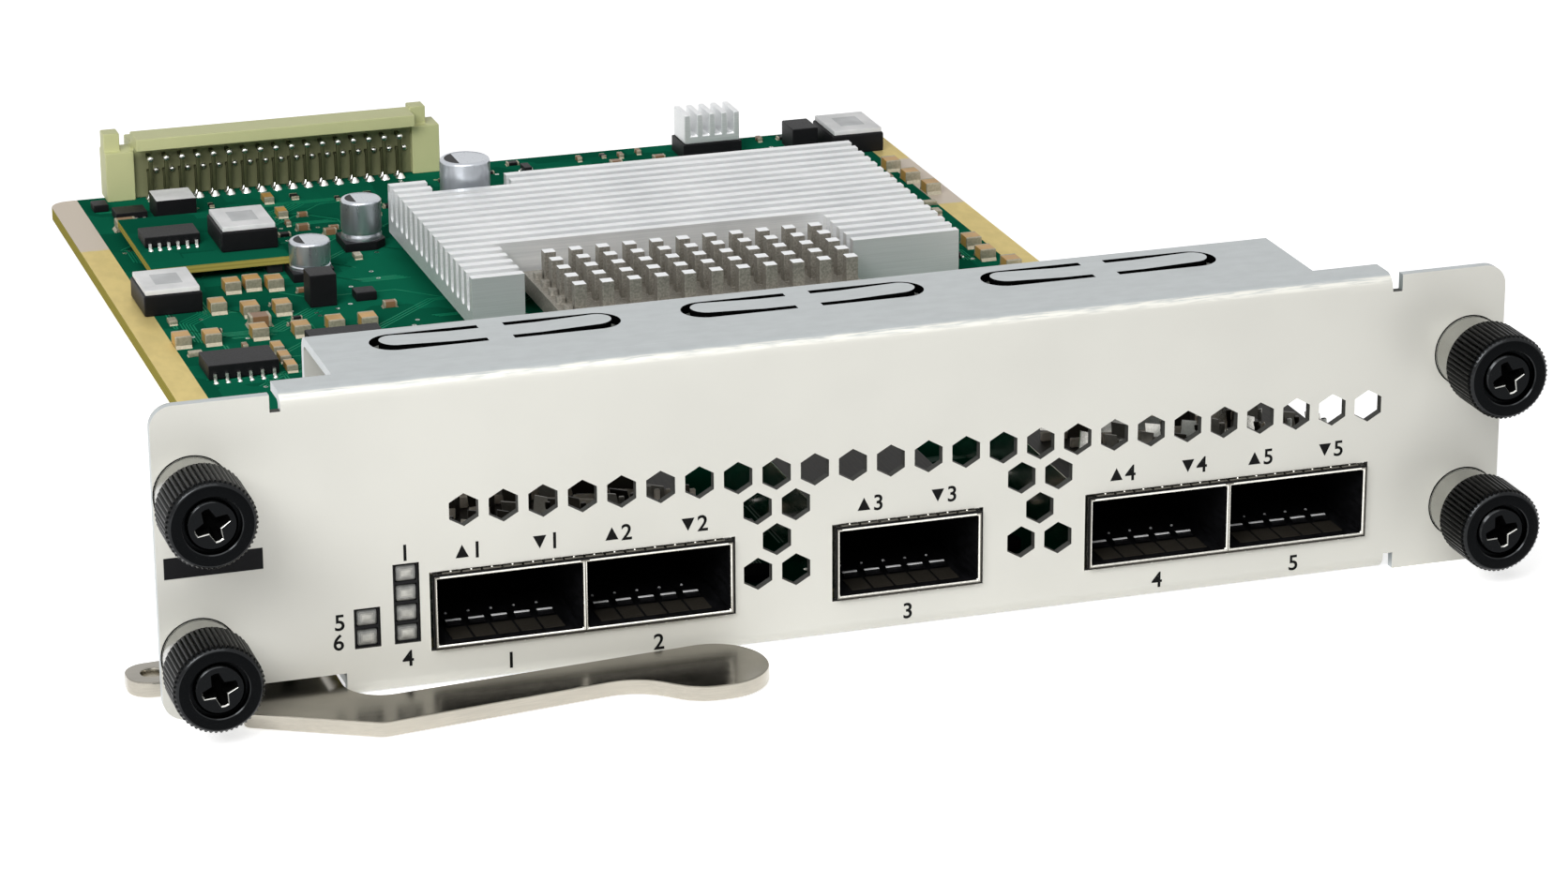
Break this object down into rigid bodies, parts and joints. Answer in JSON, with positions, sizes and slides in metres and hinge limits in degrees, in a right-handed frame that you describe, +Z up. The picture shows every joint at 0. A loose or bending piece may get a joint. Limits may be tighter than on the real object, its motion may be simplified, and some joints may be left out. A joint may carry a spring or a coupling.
{
  "type": "muxponder module",
  "caption": "Plug-in line card with a folded vented front panel, optical port cages, captive thumbscrews, an ejector lever, a circuit board with heatsinks, and a rear connector.",
  "frame": {"origin": "on the rear face of the front panel, at the centre of its four captive screws", "axes": "+X to the right along the panel, +Y into the chassis along the board, +Z up"},
  "size_m": [0.1801, 0.2258, 0.0405],
  "materials": {
    "panel_coat": "satin",
    "sleeve_nickel": "bright",
    "knob_black": "satin",
    "screw_black": "blackened",
    "seat_steel": "plain",
    "lever_nickel": "satin nickel",
    "board_green": "solder mask",
    "fixing_steel": "plain",
    "cage_nickel": "bright",
    "black_moulding": "moulded",
    "lens_clear": "clear",
    "connector_cream": "moulded",
    "pin_tin": "tinned",
    "sink_aluminium": "satin",
    "pin_sink_aluminium": "blasted",
    "pad_grey": "soft",
    "spacer_black": "moulded",
    "pale_top": "matte",
    "can_aluminium": "bright",
    "ceramic_tan": "glazed"
  },
  "bodies": {
    "card": {"front_panel": "panel_coat", "screw_sleeves": "sleeve_nickel", "lever_rivet": "lever_nickel", "lever_washer": "lever_nickel", "main_board": "board_green", "power_board": "board_green", "board_standoffs": "fixing_steel", "board_screws": "fixing_steel", "cage_left": "cage_nickel", "cage_middle": "cage_nickel", "cage_right": "cage_nickel", "host_connectors": "black_moulding", "lamp_block_two": "black_moulding", "lamp_block_four": "black_moulding", "power_package": "black_moulding", "power_inductors": "black_moulding", "electrolytic_bases": "black_moulding", "leaded_chips": "black_moulding", "black_blocks": "black_moulding", "main_chip": "black_moulding", "line_chip": "black_moulding", "lamp_lenses": "lens_clear", "rear_connector_housing": "connector_cream", "rear_connector_pins": "pin_tin", "chip_leads": "pin_tin", "main_heatsink": "sink_aluminium", "ribbed_heatsink": "sink_aluminium", "pin_fin_heatsink": "pin_sink_aluminium", "main_thermal_pad": "pad_grey", "line_thermal_pad": "pad_grey", "power_board_spacers": "spacer_black", "inductor_tops": "pale_top", "electrolytic_cans": "can_aluminium", "ceramic_capacitors": "ceramic_tan"},
    "lever": {"ejector_lever": "lever_nickel"},
    "plunger_top_left": {"spring_seat_top_left": "seat_steel"},
    "thumbscrew_top_left": {"knob_top_left": "knob_black", "screw_top_left": "screw_black"},
    "plunger_bottom_left": {"spring_seat_bottom_left": "seat_steel"},
    "thumbscrew_bottom_left": {"knob_bottom_left": "knob_black", "screw_bottom_left": "screw_black"},
    "plunger_top_right": {"spring_seat_top_right": "seat_steel"},
    "thumbscrew_top_right": {"knob_top_right": "knob_black", "screw_top_right": "screw_black"},
    "plunger_bottom_right": {"spring_seat_bottom_right": "seat_steel"},
    "thumbscrew_bottom_right": {"knob_bottom_right": "knob_black", "screw_bottom_right": "screw_black"}
  },
  "joints": [
    {"name": "lever_swing", "type": "hinge", "parent": "card", "child": "lever", "pos_m": [-0.074, 0.008, -0.0173], "axis": [0, 0, 1], "range_deg": [-28, 0]},
    {"name": "push_top_left", "type": "slide", "parent": "card", "child": "plunger_top_left", "axis": [0, 1, 0], "range_m": [0, 0.004], "stiffness_N_per_m": 400, "springref_m": -0.003},
    {"name": "turn_top_left", "type": "hinge", "parent": "plunger_top_left", "child": "thumbscrew_top_left", "pos_m": [-0.0836, 0, 0.0104], "axis": [0, 1, 0], "continuous": true},
    {"name": "push_bottom_left", "type": "slide", "parent": "card", "child": "plunger_bottom_left", "axis": [0, 1, 0], "range_m": [0, 0.004], "stiffness_N_per_m": 400, "springref_m": -0.003},
    {"name": "turn_bottom_left", "type": "hinge", "parent": "plunger_bottom_left", "child": "thumbscrew_bottom_left", "pos_m": [-0.0836, 0, -0.0104], "axis": [0, 1, 0], "continuous": true},
    {"name": "push_top_right", "type": "slide", "parent": "card", "child": "plunger_top_right", "axis": [0, 1, 0], "range_m": [0, 0.004], "stiffness_N_per_m": 400, "springref_m": -0.003},
    {"name": "turn_top_right", "type": "hinge", "parent": "plunger_top_right", "child": "thumbscrew_top_right", "pos_m": [0.0836, 0, 0.0104], "axis": [0, 1, 0], "continuous": true},
    {"name": "push_bottom_right", "type": "slide", "parent": "card", "child": "plunger_bottom_right", "axis": [0, 1, 0], "range_m": [0, 0.004], "stiffness_N_per_m": 400, "springref_m": -0.003},
    {"name": "turn_bottom_right", "type": "hinge", "parent": "plunger_bottom_right", "child": "thumbscrew_bottom_right", "pos_m": [0.0836, 0, -0.0104], "axis": [0, 1, 0], "continuous": true}
  ]
}
